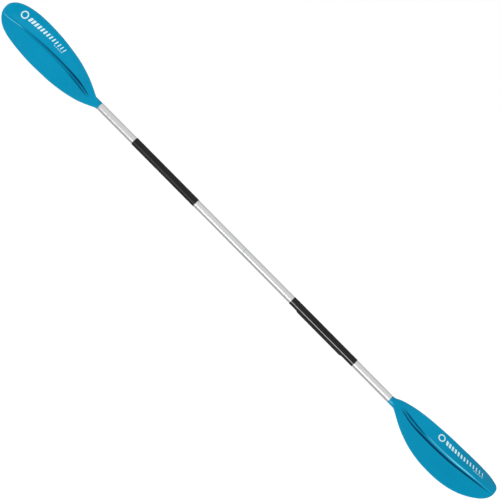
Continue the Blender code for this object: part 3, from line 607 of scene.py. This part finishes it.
class Station:
    """What the whole section at one distance along the blade shares."""

    def __init__(self, s):
        self.s = s
        self.low, self.high = lower_edge(s), upper_edge(s)
        middle = trough_centre(s)
        to_tip = blend_step(TIP_BLEND * BLADE_LENGTH, BLADE_LENGTH, s)
        self.middle = middle + ((self.low + self.high) / 2 - middle) * to_tip
        self.half = min(trough_half_width(s), TROUGH_SHARE * (self.high - self.low))
        self.depth = trough_depth(s)
        self.centre = centre_height(s)
        self.sheet = blend_step(*FACE_OPENS, s)
        self.sunk = blend_step(*SPINE_SINKS, s)
        self.rim = RIM_THICKNESS * self.sheet
        self.edge_height = {1: upper_height(s), -1: lower_height(s)}
        self.slope = {}
        for sign, edge in ((1, upper_edge), (-1, lower_edge)):
            ahead = min(s + SLOPE_STEP, BLADE_LENGTH)
            behind = ahead - 2 * SLOPE_STEP
            self.slope[sign] = (edge(ahead) - edge(behind)) / (2 * SLOPE_STEP)

    def side(self, e):
        """Which half of the face a place across the blade is in."""
        return 1 if e > self.middle else -1

    def edge(self, sign):
        """Where the edge of one half is."""
        return self.high if sign > 0 else self.low

    def inset(self, e, sign):
        """The distance from a place across the blade to the outline, measured square to it."""
        return abs(self.edge(sign) - e) / math.hypot(1, self.slope[sign])

    def fullness(self, e, sign):
        """How much of the rim's half thickness is reached at a place: a round edge."""
        reach = min(self.inset(e, sign) / (RIM_THICKNESS / 2), 1.0)
        return 1 - self.sheet * (1 - math.sqrt(1 - (1 - reach) ** 2))

    def face(self, e):
        """The power face's height without the trough or the rounding of its rim."""
        sign = self.side(e)
        edge = self.edge_height[sign] + self.rim / 2
        x = min(abs((e - self.middle) / (self.edge(sign) - self.middle)), 1.0)
        half = NECK_RADIUS * math.cos(NECK_EDGE_ANGLE)
        floor = NECK_RADIUS * math.sin(NECK_EDGE_ANGLE)
        arc = math.sqrt(NECK_RADIUS ** 2 - (x * half) ** 2)
        round_shape = (arc - floor) / (NECK_RADIUS - floor)
        shape = (1 - self.sheet) * round_shape + self.sheet * (1 - x ** FACE_CURVE)
        return edge + (self.centre - edge) * shape

    def trough(self, e):
        """How deep the trough is at a place across the blade."""
        across = abs(e - self.middle) / self.half
        return self.depth * (1 - blend_step(TROUGH_FLOOR, 1.0, across))

    def painted_shade(self, e, side):
        """How dark the trough's painted shade is at a place: mostly under the wall that faces away from
        the light.
        """
        across = side * (e - self.middle) / self.half
        reach = SHADE_REACH[side](self.s)
        band = 1 - blend_step(reach - SHADE_FADE[side], reach, across)
        band *= 1 - blend_step(*WALL_TOP, -across)
        shade = band * SHADED_WALL[side](self.s)
        line = blend_step(*WALL_FOOT, across) * (1 - blend_step(*WALL_TOP, across))
        return max(shade, line * LIT_WALL[side](self.s))

    def painted_highlight(self, e, side):
        """How pale the painted highlight on the trough's edge or on the neck is at a place."""
        across = side * (e - self.middle) / self.half
        off = abs(across - PAINTED_HIGHLIGHT_AT[side](self.s)) / PAINTED_HIGHLIGHT_WIDTH
        on_rim = (1 - blend_step(PAINTED_HIGHLIGHT_CORE, 1.0, off)) * RIM_PAINTED_HIGHLIGHT[side](self.s)
        off_neck = abs(e - NECK_PAINTED_HIGHLIGHT_AT) / NECK_PAINTED_HIGHLIGHT_WIDTH
        on_neck = (1 - blend_step(NECK_PAINTED_HIGHLIGHT_CORE, 1.0, off_neck)) * NECK_PAINTED_HIGHLIGHT[side](self.s)
        return max(on_rim, on_neck)

    def front(self, e):
        """The finished power face's height."""
        fullness = self.fullness(e, self.side(e))
        return self.face(e) - self.trough(e) - self.rim / 2 * (1 - fullness)

    def columns(self):
        """Places across the power face, closer together at the rims and in the trough."""
        spread = min(TROUGH_REACH * self.half, TROUGH_LIMIT * (self.high - self.middle),
                     TROUGH_LIMIT * (self.middle - self.low))
        near, far = self.middle - spread, self.middle + spread
        outward = [math.cos(i / SIDE_COLUMNS * math.pi / 2) for i in range(SIDE_COLUMNS)]
        places = [near + (self.low - near) * reach for reach in outward]
        for i in range(TROUGH_COLUMNS + 1):
            places.append(self.middle + spread * (2 * i / TROUGH_COLUMNS - 1))
        return places + [far + (self.high - far) * reach for reach in reversed(outward)]

    def back(self, sign, count):
        """The back from just inside one edge, in under its wing and round the spine's flank."""
        edge_at = self.edge(sign)
        corner = Vector((edge_at, self.edge_height[sign]))
        wing = SPINE_WING_SHARE * abs(edge_at - self.middle)
        width = min(spine_half_width(self.s), wing + NECK_RADIUS * (1 - self.sunk))
        spine_at = self.middle * self.sunk
        flank_e = spine_at + sign * width * (1 + SPINE_FILLET * self.sunk)
        under = self.face(flank_e) - SHEET_THICKNESS
        keel = self.centre - keel_depth(self.s)
        turn_from = (1 - self.sunk) * NECK_FLANK_ANGLE
        arc_start = Vector((sign * NECK_RADIUS * math.cos(NECK_FLANK_ANGLE),
                            NECK_RADIUS * math.sin(NECK_FLANK_ANGLE)))
        points = []
        for i in range(1, FLANK_POINTS):
            t = (i / FLANK_POINTS) ** 2
            straight = corner.lerp(arc_start, t)
            e = edge_at + (flank_e - edge_at) * t
            thickness = self.rim + (SHEET_THICKNESS - self.rim) * blend_step(*SHEET_GROWTH, t)
            fullness = self.fullness(e, sign)
            sheet = Vector((e, self.face(e) - thickness + self.rim / 2 * (1 - fullness)))
            points.append(straight.lerp(sheet, self.sunk))
        arc = count - len(points)
        top = self.sunk * under
        for i in range(arc):
            turn = turn_from - (turn_from + math.pi / 2) * i / arc
            fillet = SPINE_FILLET * self.sunk * (1 - abs(math.sin(turn))) ** 2
            out = math.cos(turn) + fillet
            points.append(Vector((spine_at + sign * width * out, top + (top - keel) * math.sin(turn))))
        return self.softened([corner] + points + [Vector((spine_at, keel))])[1:-1]

    def softened(self, points):
        """Points of the back with their creases eased, its first and last few kept."""
        for _ in range(SOFTENING_PASSES):
            eased = list(points)
            for i in range(KEPT_BY_RIM, len(points) - 1):
                eased[i] = (points[i - 1] + 2 * points[i] + points[i + 1]) / 4
            points = eased
        return points

    def section(self):
        """The closed section, as (across, height) points."""
        places = self.columns()
        front = [Vector((e, self.front(e))) for e in places]
        count = (len(places) - 3) // 2
        keel = Vector((self.middle * self.sunk, self.centre - keel_depth(self.s)))
        return front + self.back(1, count) + [keel] + self.back(-1, count)[::-1]


def blade_distances():
    """Distances of the sections: close in the throat, even along the body, closing on the tip."""
    distances = [THROAT_END * i / THROAT_STATIONS for i in range(1, THROAT_STATIONS)]
    body = BODY_END - THROAT_END
    distances += [THROAT_END + body * i / BODY_STATIONS for i in range(BODY_STATIONS)]
    tip = BLADE_LENGTH - BODY_END
    for i in range(TIP_STATIONS):
        distances.append(BODY_END + tip * math.sin(i / TIP_STATIONS * math.pi / 2))
    return distances + [BLADE_LENGTH - TIP_END]


def placed(side, s, e, z):
    """A place on a blade in the row frame."""
    point = Vector((side * (SHOULDER + s), e, z))
    if side == LEFT:
        point = Matrix.Rotation(FEATHER_ANGLE, 3, "X") @ point
    return point + Vector((0, AXIS_Y, AXIS_Z))


def finished(name, bm, material, body, replaces=(), sharp=35):
    """Turn a closed bmesh into a smooth-shaded piece that rides on a body."""
    bmesh.ops.recalc_face_normals(bm, faces=bm.faces)
    mesh = meshed(name, bm)
    mesh.shade_smooth()
    mesh.set_sharp_from_angle(angle=math.radians(sharp))
    mesh.materials.append(material)
    piece = linked(name, mesh)
    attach(piece, body)
    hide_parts(*replaces)
    return piece


def joined(bm, pairs):
    """Faces between the points of each pair of rings."""
    for a, b in pairs:
        for i in range(len(a)):
            j = (i + 1) % len(a)
            bm.faces.new((a[i], a[j], b[j], b[i]))


def tang_rings(neck):
    """The tang's sections, the neck's outline drawn in to fit the tube, and the neck's shoulder."""
    shrink = TANG_RADIUS / NECK_RADIUS
    inset = SHOULDER_ROUNDING / NECK_RADIUS
    sections = ((-TANG_LENGTH, shrink - TANG_CHAMFER), (-TANG_LENGTH + TANG_NOSE, shrink),
                (GAP, shrink), (GAP, 1 - inset),
                (GAP + ROUNDING_STEP * SHOULDER_ROUNDING, 1 - ROUNDING_STEP * inset),
                (GAP + SHOULDER_ROUNDING, 1.0))
    return [(s, [p * scale for p in neck], None) for s, scale in sections]


def painted(vert, layers, station, side, e, on_front):
    """Store at a point how near the rim it is, and how dark its painted shade and how pale its painted
    highlight are there.
    """
    rim, painted_shade, painted_highlight = layers
    near = 1 - min(station.inset(e, station.side(e)) / RIM_WEAR_WIDTH, 1.0)
    vert[rim] = near * station.sheet
    if on_front:
        vert[painted_shade] = PAINTED_SHADE_STRENGTH * station.painted_shade(e, side)
        vert[painted_highlight] = station.painted_highlight(e, side)


def make_blade(side, material):
    """One blade with its neck and tang, replacing the CAD blade."""
    rings = tang_rings(Station(0.0).section())
    for s in blade_distances():
        station = Station(s)
        rings.append((s, station.section(), station))
    bm = bmesh.new()
    # Per point: nearness to the rim for wear, then the painted shade and the painted highlight
    layers = [bm.verts.layers.float.new(name) for name in ("rim", "painted_shade", "painted_highlight")]
    front = 2 * SIDE_COLUMNS + TROUGH_COLUMNS + 1
    made = []
    for s, outline, station in rings:
        made.append([bm.verts.new(placed(side, s, e, z)) for e, z in outline])
        if station:
            for i, (e, _) in enumerate(outline):
                painted(made[-1][i], layers, station, side, e, i < front)
    joined(bm, zip(made, made[1:]))
    bm.faces.new(made[0])
    bm.faces.new(made[-1])
    word = WORDS[side]
    return finished(word + "_blade_shell", bm, material, word + "_half", [word + "_blade"],
                    sharp=70)


# ---------------------------------------------------------------- turned pieces

TURNED_SIDES = 128
SMALL_SIDES = 48
MERGE_DISTANCE = 1e-7
HOLE_START = 0.004
HOLE_FLARE = 0.0003
HOLE_OVERRUN = 0.0004
ON_WALL = 0.998


def rounded_outline(corners, steps=4):
    """A closed outline whose (x, radius, rounding) corners are turned into arcs."""
    points = []
    count = len(corners)
    for i, (x, r, rounding) in enumerate(corners):
        corner = Vector((x, r))
        if rounding <= 0:
            points.append(corner)
            continue
        before = Vector(corners[i - 1][:2])
        after = Vector(corners[(i + 1) % count][:2])
        start = corner + (before - corner).normalized() * rounding
        end = corner + (after - corner).normalized() * rounding
        for k in range(steps + 1):
            t = k / steps
            points.append(start * (1 - t) ** 2 + corner * 2 * t * (1 - t) + end * t ** 2)
    return points


def turned(outline, sides=TURNED_SIDES):
    """A body turned about X from a closed outline of (x, radius) points."""
    bm = bmesh.new()
    verts = [bm.verts.new(Vector((x, r, 0))) for x, r in outline]
    edges = [bm.edges.new((a, b)) for a, b in zip(verts, verts[1:] + verts[:1])]
    bmesh.ops.spin(bm, geom=verts + edges, cent=(0, 0, 0), axis=(1, 0, 0), angle=math.tau,
                   steps=sides, use_merge=True)
    bmesh.ops.remove_doubles(bm, verts=bm.verts, dist=MERGE_DISTANCE)
    bmesh.ops.dissolve_degenerate(bm, edges=bm.edges, dist=MERGE_DISTANCE)
    return bm


def on_shaft(corners):
    """A body turned about the shaft's axis from its outline's corners."""
    bm = turned(rounded_outline(corners))
    bmesh.ops.translate(bm, verts=bm.verts, vec=(0, AXIS_Y, AXIS_Z))
    return bm


def out_of_shaft(outline, x, direction):
    """A small turned body that points straight out of the shaft at an angle from +Y."""
    bm = turned(outline, SMALL_SIDES)
    outward = Vector((0, math.cos(direction), math.sin(direction)))
    along = Vector((1, 0, 0))
    turn = Matrix((outward, along, outward.cross(along))).transposed().to_4x4()
    place = Matrix.Translation((x, AXIS_Y, AXIS_Z)) @ turn
    bmesh.ops.transform(bm, matrix=place, verts=bm.verts)
    return bm


def bored(piece, x, direction, radius, outer):
    """Cut a round hole with a broken outer edge through one wall of a tube."""
    end = outer + HOLE_OVERRUN
    outline = [(HOLE_START, 0), (HOLE_START, radius), (outer - HOLE_FLARE, radius),
               (end, radius + 2 * HOLE_FLARE), (end, 0)]
    bm = out_of_shaft(outline, x, direction)
    bmesh.ops.recalc_face_normals(bm, faces=bm.faces)
    cutter = linked("cutter", meshed("cutter", bm))
    cut = piece.modifiers.new("hole", "BOOLEAN")
    cut.operation = "DIFFERENCE"
    cut.solver = "EXACT"
    cut.object = cutter
    graph = bpy.context.evaluated_depsgraph_get()
    graph.update()
    result = bpy.data.meshes.new_from_object(piece.evaluated_get(graph))
    piece.modifiers.clear()
    piece.data = result
    bpy.data.objects.remove(cutter, do_unlink=True)


def shaded_round(piece, radius):
    """Shade the outside of a bored tube as a true cylinder, whatever its faces round a hole."""
    mesh = piece.data
    normals = [corner.vector.copy() for corner in mesh.corner_normals]
    for face in mesh.polygons:
        outward = Vector((0, face.center.y - AXIS_Y, face.center.z - AXIS_Z))
        if min(outward.length / radius, face.normal.dot(outward.normalized())) < ON_WALL:
            continue
        for i in face.loop_indices:
            at = mesh.vertices[mesh.loops[i].vertex_index].co
            normals[i] = Vector((0, at.y - AXIS_Y, at.z - AXIS_Z)).normalized()
    mesh.normals_split_custom_set(normals)


BUTTON_HOLE_RADIUS = 0.0036
TUBE_LOOPS = 90
EDGE_BREAK = 0.0002


def make_tube(side, material):
    """One half's tube, with loops along it and broken edges at its ends."""
    word = WORDS[side]
    low, high = BOXES[word + "_tube"]
    corners = [(low.x, TUBE_INNER, EDGE_BREAK), (high.x, TUBE_INNER, EDGE_BREAK),
               (high.x, SHAFT_RADIUS, EDGE_BREAK)]
    for i in range(1, TUBE_LOOPS):
        corners.append((high.x + (low.x - high.x) * i / TUBE_LOOPS, SHAFT_RADIUS, 0))
    corners.append((low.x, SHAFT_RADIUS, EDGE_BREAK))
    bm = on_shaft(corners)
    piece = finished(word + "_shaft_tube", bm, material, word + "_half", [word + "_tube"])
    if side == RIGHT:
        for i in range(3):
            bored(piece, BUTTON_X, -i * FEATHER_ANGLE, BUTTON_HOLE_RADIUS, SHAFT_RADIUS)
        shaded_round(piece, SHAFT_RADIUS)
    return piece


# ---------------------------------------------------------------- grips

GRIP_SIDES = 120
GRIP_OUTER = outer_radius("left_grip")
INDEX_RISE = outer_radius("right_grip") - GRIP_OUTER
INDEX_DIRECTION = math.radians(210)
INDEX_SPREAD = math.radians(60)
INDEX_MARGIN = 0.007
INDEX_START = BOXES["right_index_pad"][0].x - INDEX_MARGIN
INDEX_END = BOXES["right_index_pad"][1].x + INDEX_MARGIN
INDEX_RAMP = 0.012
STRIPE_DIRECTION = math.radians(139.6)
STRIPE_WIDTH = 0.0023
STRIPE_END = 0.0009
STRIPE_COLUMNS = 4
STRIPE_LIFTS = (0.00005, -0.0002)
LIP = 0.0005
LIP_STEPS = 5
GRIP_STEPS = 130
SLEEVE_GAP = 0.0002
LEAST_SLEEVE = 0.00002


def round_point(x, radius, angle):
    """The place at a radius and an angle from +Y about the shaft."""
    return Vector((x, AXIS_Y + radius * math.cos(angle), AXIS_Z + radius * math.sin(angle)))


def index_rise(side, x, direction):
    """How far a grip swells at a place on its surface: only over the right one's index pad."""
    turn = abs((direction - INDEX_DIRECTION + math.pi) % math.tau - math.pi)
    if side == LEFT or turn >= INDEX_SPREAD:
        return 0.0
    along = blend_step(INDEX_START, INDEX_START + INDEX_RAMP, x)
    along *= 1 - blend_step(INDEX_END - INDEX_RAMP, INDEX_END, x)
    return INDEX_RISE * along * math.cos(turn / INDEX_SPREAD * math.pi / 2) ** 2


def grip_surface(side, x, direction):
    """The radius of a grip's outside, with its rounded ends."""
    low, high = BOXES[WORDS[side] + "_grip"]
    from_end = min(x - low.x, high.x - x)
    reach = min(from_end / LIP, 1.0)
    drop = LIP * (1 - math.sqrt(max(0.0, 1 - (1 - reach) ** 2)))
    return GRIP_OUTER - drop + index_rise(side, x, direction)


def make_grip(side, material):
    """A thin sleeve with rounded ends, swollen over the index pad on the right half."""
    word = WORDS[side]
    low, high = BOXES[word + "_grip"]
    ends = [LIP * (1 - math.cos(i / LIP_STEPS * math.pi / 2)) for i in range(LIP_STEPS)]
    length = high.x - low.x - 2 * LIP
    stations = [low.x + d for d in ends]
    stations += [low.x + LIP + length * i / GRIP_STEPS for i in range(GRIP_STEPS + 1)]
    stations += [high.x - d for d in reversed(ends)]
    bm = bmesh.new()
    outer, inner = [], []
    for x in stations:
        outer.append([])
        inner.append([])
        for i in range(GRIP_SIDES):
            angle = i * math.tau / GRIP_SIDES
            radius = grip_surface(side, x, angle)
            hollow = SHAFT_RADIUS + SLEEVE_GAP + index_rise(side, x, angle)
            hollow = min(hollow, radius - LEAST_SLEEVE)
            outer[-1].append(bm.verts.new(round_point(x, radius, angle)))
            inner[-1].append(bm.verts.new(round_point(x, hollow, angle)))
    joined(bm, zip(outer, outer[1:]))
    joined(bm, zip(inner, inner[1:]))
    joined(bm, ((outer[0], inner[0]), (outer[-1], inner[-1])))
    return finished(word + "_grip_sleeve", bm, material, word + "_half", [word + "_grip"])


def thin_patch(bm, rows):
    """A closed thin patch from rows of (upper point, lower point) pairs."""
    tops = [[bm.verts.new(top) for top, _ in row] for row in rows]
    bottoms = [[bm.verts.new(bottom) for _, bottom in row] for row in rows]
    for layer in (tops, bottoms):
        for a, b in zip(layer, layer[1:]):
            for i in range(len(a) - 1):
                bm.faces.new((a[i], a[i + 1], b[i + 1], b[i]))
    around = [(r, 0) for r in range(len(rows))]
    around += [(len(rows) - 1, c) for c in range(1, len(rows[0]))]
    around += [(r, len(rows[0]) - 1) for r in range(len(rows) - 2, -1, -1)]
    around += [(0, c) for c in range(len(rows[0]) - 2, 0, -1)]
    for (r0, c0), (r1, c1) in zip(around, around[1:] + around[:1]):
        bm.faces.new((tops[r0][c0], tops[r1][c1], bottoms[r1][c1], bottoms[r0][c0]))


def make_grip_stripe_and_sheen(side, material):
    """The line along a whole grip, on the side of the swelling: pale inlaid paint on the right one,
    a faint painted sheen on the left one.
    """
    word = WORDS[side]
    low, high = BOXES[word + "_grip"]
    rows = []
    for i in range(GRIP_STEPS + 1):
        x = low.x + STRIPE_END + (high.x - low.x - 2 * STRIPE_END) * i / GRIP_STEPS
        rows.append([])
        for k in range(STRIPE_COLUMNS + 1):
            angle = STRIPE_DIRECTION + (k / STRIPE_COLUMNS - 0.5) * STRIPE_WIDTH / GRIP_OUTER
            radius = grip_surface(side, x, angle)
            rows[-1].append([round_point(x, radius + lift, angle) for lift in STRIPE_LIFTS])
    bm = bmesh.new()
    thin_patch(bm, rows)
    return finished(word + "_grip_stripe_and_sheen", bm, material, word + "_half", [])


# ---------------------------------------------------------------- printed marks

MARK_ACROSS = 0.0450
RING_RADII = (0.0132, 0.0092)
RING_AT = {RIGHT: 0.216, LEFT: 0.394}
MARK_SLANT = 0.35
BAR_START = 0.0255
BAR_COUNT = 13
BAR_PITCH = 0.0127
BAR_WIDTHS = (0.0086, 0.0030)
BAR_HEIGHT = 0.0150
SMALL_DASHES = 5
SMALL_LENGTH = 0.0052
SMALL_LINE = -0.0128
SMALL_HEIGHT = 0.0018
SMALL_PITCH = 1.6 * SMALL_LENGTH
DASH_STEPS = (8, 6)
RING_STEPS = (72, 3)
RING_CLOSING = 0.001
INK_LIFT = 0.00006
INK_ROOT = 0.0003


def inked_point(side, s, e):
    """The top and bottom of the ink at a place on a power face."""
    height = Station(s).front(e)
    return placed(side, s, e, height + INK_LIFT), placed(side, s, e, height - INK_ROOT)


def ink_dash(bm, side, s, length, middle, height):
    """A dash along the blade with slanted ends."""
    along, across = DASH_STEPS
    rows = []
    for i in range(along + 1):
        rows.append([])
        for k in range(across + 1):
            e = middle + height * (k / across - 0.5)
            lean = -MARK_SLANT * (e - MARK_ACROSS)
            rows[-1].append(inked_point(side, s + length * (i / along - 0.5) + lean, e))
    thin_patch(bm, rows)


def ink_ring(bm, side, s, e):
    """A plain round ring, as a closed band."""
    outer, inner = RING_RADII
    around, across = RING_STEPS
    rows = []
    for i in range(around + 1):
        angle = min(i, around - RING_CLOSING) * math.tau / around
        rows.append([])
        for k in range(across + 1):
            reach = outer + (inner - outer) * k / across
            at = s + reach * math.cos(angle), e + reach * math.sin(angle)
            rows[-1].append(inked_point(side, *at))
    thin_patch(bm, rows)


def make_marks(side, material):
    """A plain printed pattern on the upper half: a ring, ever thinner bars and a few dashes."""
    bm = bmesh.new()
    ring_at = RING_AT[side]
    ink_ring(bm, side, ring_at, MARK_ACROSS)
    for i in range(BAR_COUNT):
        share = i / (BAR_COUNT - 1)
        width = BAR_WIDTHS[0] + (BAR_WIDTHS[1] - BAR_WIDTHS[0]) * share
        place = ring_at + side * (BAR_START + BAR_PITCH * i)
        ink_dash(bm, side, place, width, MARK_ACROSS, BAR_HEIGHT)
    last = BAR_START + BAR_PITCH * (BAR_COUNT - 1)
    for i in range(SMALL_DASHES):
        place = ring_at + side * (last - i * SMALL_PITCH)
        ink_dash(bm, side, place, SMALL_LENGTH, MARK_ACROSS + SMALL_LINE, SMALL_HEIGHT)
    word = WORDS[side]
    return finished(word + "_blade_print", bm, material, word + "_half", [])


# ---------------------------------------------------------------- joint and fasteners

RIVET_DIRECTION = math.radians(-60)
RIVET_HEAD_RADIUS = 0.0032
RIVET_HEAD_HEIGHT = 0.0011
RIVET_SHANK_RADIUS = 0.0016
RIVET_SHANK_LENGTH = 0.0055
RIVET_LIFT = 0.0001
RIVET_DOME_RADIUS = 0.0019
RIVET_PIT_RADII = (0.0010, 0.0008)
RIVET_PIT_DEPTH = 0.0005
FERRULE_LOOPS = 24
CAP_DISH_DEPTH = 0.0004
CAP_DISH_SHARES = (0.62, 0.55)
BUTTON_FOOT = 0.001
BUTTON_PIN_RADIUS = 0.0032


def make_ferrule(material):
    """The stepped tube that joins the halves, with broken edges and its button hole."""
    low, high = BOXES["ferrule_tube"]
    bore = inner_radius("ferrule_tube")
    fixed = outer_radius("ferrule_tube")
    free = outer_radius("ferrule_cap") + GAP
    corners = [(low.x, bore, 0.0003), (high.x, bore, 0.0003), (high.x, free, 0.0004)]
    for i in range(1, FERRULE_LOOPS):
        corners.append((high.x + (-MOUTH - high.x) * i / FERRULE_LOOPS, free, 0))
    corners += [(-MOUTH, free, 0.0001), (-MOUTH, fixed, 0.0002), (low.x, fixed, 0.0004)]
    bm = on_shaft(corners)
    piece = finished("ferrule_sleeve", bm, material, "left_half", ["ferrule_tube"])
    bored(piece, BUTTON_X, 0.0, BUTTON_HOLE_RADIUS, free)
    shaded_round(piece, free)
    return piece


def make_ferrule_cap(material):
    """The plug in the ferrule's end: a spigot, a rounded flange and a shallow dish."""
    low, high = BOXES["ferrule_cap"]
    rim = outer_radius("ferrule_cap")
    spigot = inner_radius("ferrule_tube") - GAP
    flange_at = BOXES["ferrule_tube"][1].x + GAP
    dish = high.x - CAP_DISH_DEPTH
    mouth, foot = (share * rim for share in CAP_DISH_SHARES)
    corners = [(low.x, 0, 0), (low.x, spigot, 0.0006), (flange_at, spigot, 0),
               (flange_at, rim, 0.0002), (high.x, rim, 0.0009), (high.x, mouth, 0.0003),
               (dish, foot, 0.0003), (dish, 0, 0)]
    bm = on_shaft(corners)
    return finished("ferrule_end_cap", bm, material, "left_half", ["ferrule_cap"])


def make_bush(material):
    """The flanged liner in the right tube's mouth."""
    low, high = BOXES["mouth_bush"]
    bore, flange = inner_radius("mouth_bush"), outer_radius("mouth_bush")
    liner = TUBE_INNER - GAP
    flange_end = -low.x
    corners = [(low.x, bore, 0.0003), (high.x, bore, 0.0002), (high.x, liner, 0.0002),
               (flange_end, liner, 0), (flange_end, flange, 0.0002), (low.x, flange, 0.0003)]
    bm = on_shaft(corners)
    return finished("mouth_bush_ring", bm, material, "bush", ["mouth_bush"])


def make_button(material):
    """The snap button: a foot in the ferrule and a pin with a domed end."""
    low, high = BOXES["snap_button"]
    bottom, top = low.y - AXIS_Y, high.y - AXIS_Y
    foot = bottom + BUTTON_FOOT
    foot_radius = (high.x - low.x) / 2
    corners = [(bottom, 0, 0), (bottom, foot_radius, 0.0002), (foot, foot_radius, 0.0002),
               (foot, BUTTON_PIN_RADIUS, 0.0001), (top - 0.0001, BUTTON_PIN_RADIUS, 0.0012), (top, 0, 0)]
    bm = out_of_shaft(rounded_outline(corners, 8), BUTTON_X, 0.0)
    return finished("snap_button_pin", bm, material, "button", ["snap_button"])


def make_rivet(node, body, material):
    """A blind rivet: a low domed head with the broken stem's hole in its middle."""
    low, high = BOXES[node]
    x = (low.x + high.x) / 2
    seat = SHAFT_RADIUS + RIVET_LIFT
    top = seat + RIVET_HEAD_HEIGHT
    shank = SHAFT_RADIUS - RIVET_SHANK_LENGTH
    pit = top - RIVET_PIT_DEPTH
    mouth, foot = RIVET_PIT_RADII
    corners = [(shank, 0, 0), (shank, RIVET_SHANK_RADIUS, 0.0003), (seat, RIVET_SHANK_RADIUS, 0),
               (seat, RIVET_HEAD_RADIUS, 0.0001), (seat + 0.0004, RIVET_HEAD_RADIUS - 0.0001, 0.0002),
               (top - 0.0002, RIVET_DOME_RADIUS, 0.0005), (top, mouth, 0.0002), (pit, foot, 0.0001),
               (pit, 0, 0)]
    bm = out_of_shaft(rounded_outline(corners), x, RIVET_DIRECTION)
    return finished(node + "_head", bm, material, body, [node])


def repaint(node, material):
    """Give a CAD node that is shown as it is a finished material."""
    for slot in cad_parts[node].material_slots:
        slot.material = material


def build():
    """Every piece of the paddle."""
    blade = blade_plastic()
    tube = tube_aluminium()
    rubber = grip_rubber()
    ink = print_ink()
    steel = stainless_steel()
    for side in (LEFT, RIGHT):
        make_tube(side, tube)
        make_blade(side, blade)
        make_grip(side, rubber)
        make_marks(side, ink)
    make_grip_stripe_and_sheen(RIGHT, stripe_and_sheen_finish("stripe_pale", (0.40, 0.40, 0.40), (0.27, 0.27, 0.27)))
    # The left grip's line is a painted sheen: a faint highlight painted along the black rubber
    make_grip_stripe_and_sheen(LEFT, stripe_and_sheen_finish("left_grip_painted_sheen", (0.045, 0.045, 0.046), (0.03, 0.03, 0.031)))
    make_ferrule(ferrule_aluminium())
    make_ferrule_cap(soft_plastic("cap_plastic", (0.012, 0.012, 0.013), (0.024, 0.024, 0.025)))
    make_bush(soft_plastic("bush_nylon", (0.50, 0.51, 0.52), (0.58, 0.59, 0.60)))
    make_button(steel)
    for node in ("left_blade_rivet", "ferrule_rivet_near_seam", "ferrule_rivet_far"):
        make_rivet(node, "left_half", steel)
    make_rivet("right_blade_rivet", "right_half", steel)
    repaint("button_spring", steel)
    repaint("right_index_pad", soft_plastic("pad_plastic", (0.045, 0.045, 0.047), (0.07, 0.07, 0.072)))
    foam = plug_foam()
    for node in ("left_float_plug", "right_float_plug"):
        repaint(node, foam)


make_studio()
make_floor(floor_finish())
build()
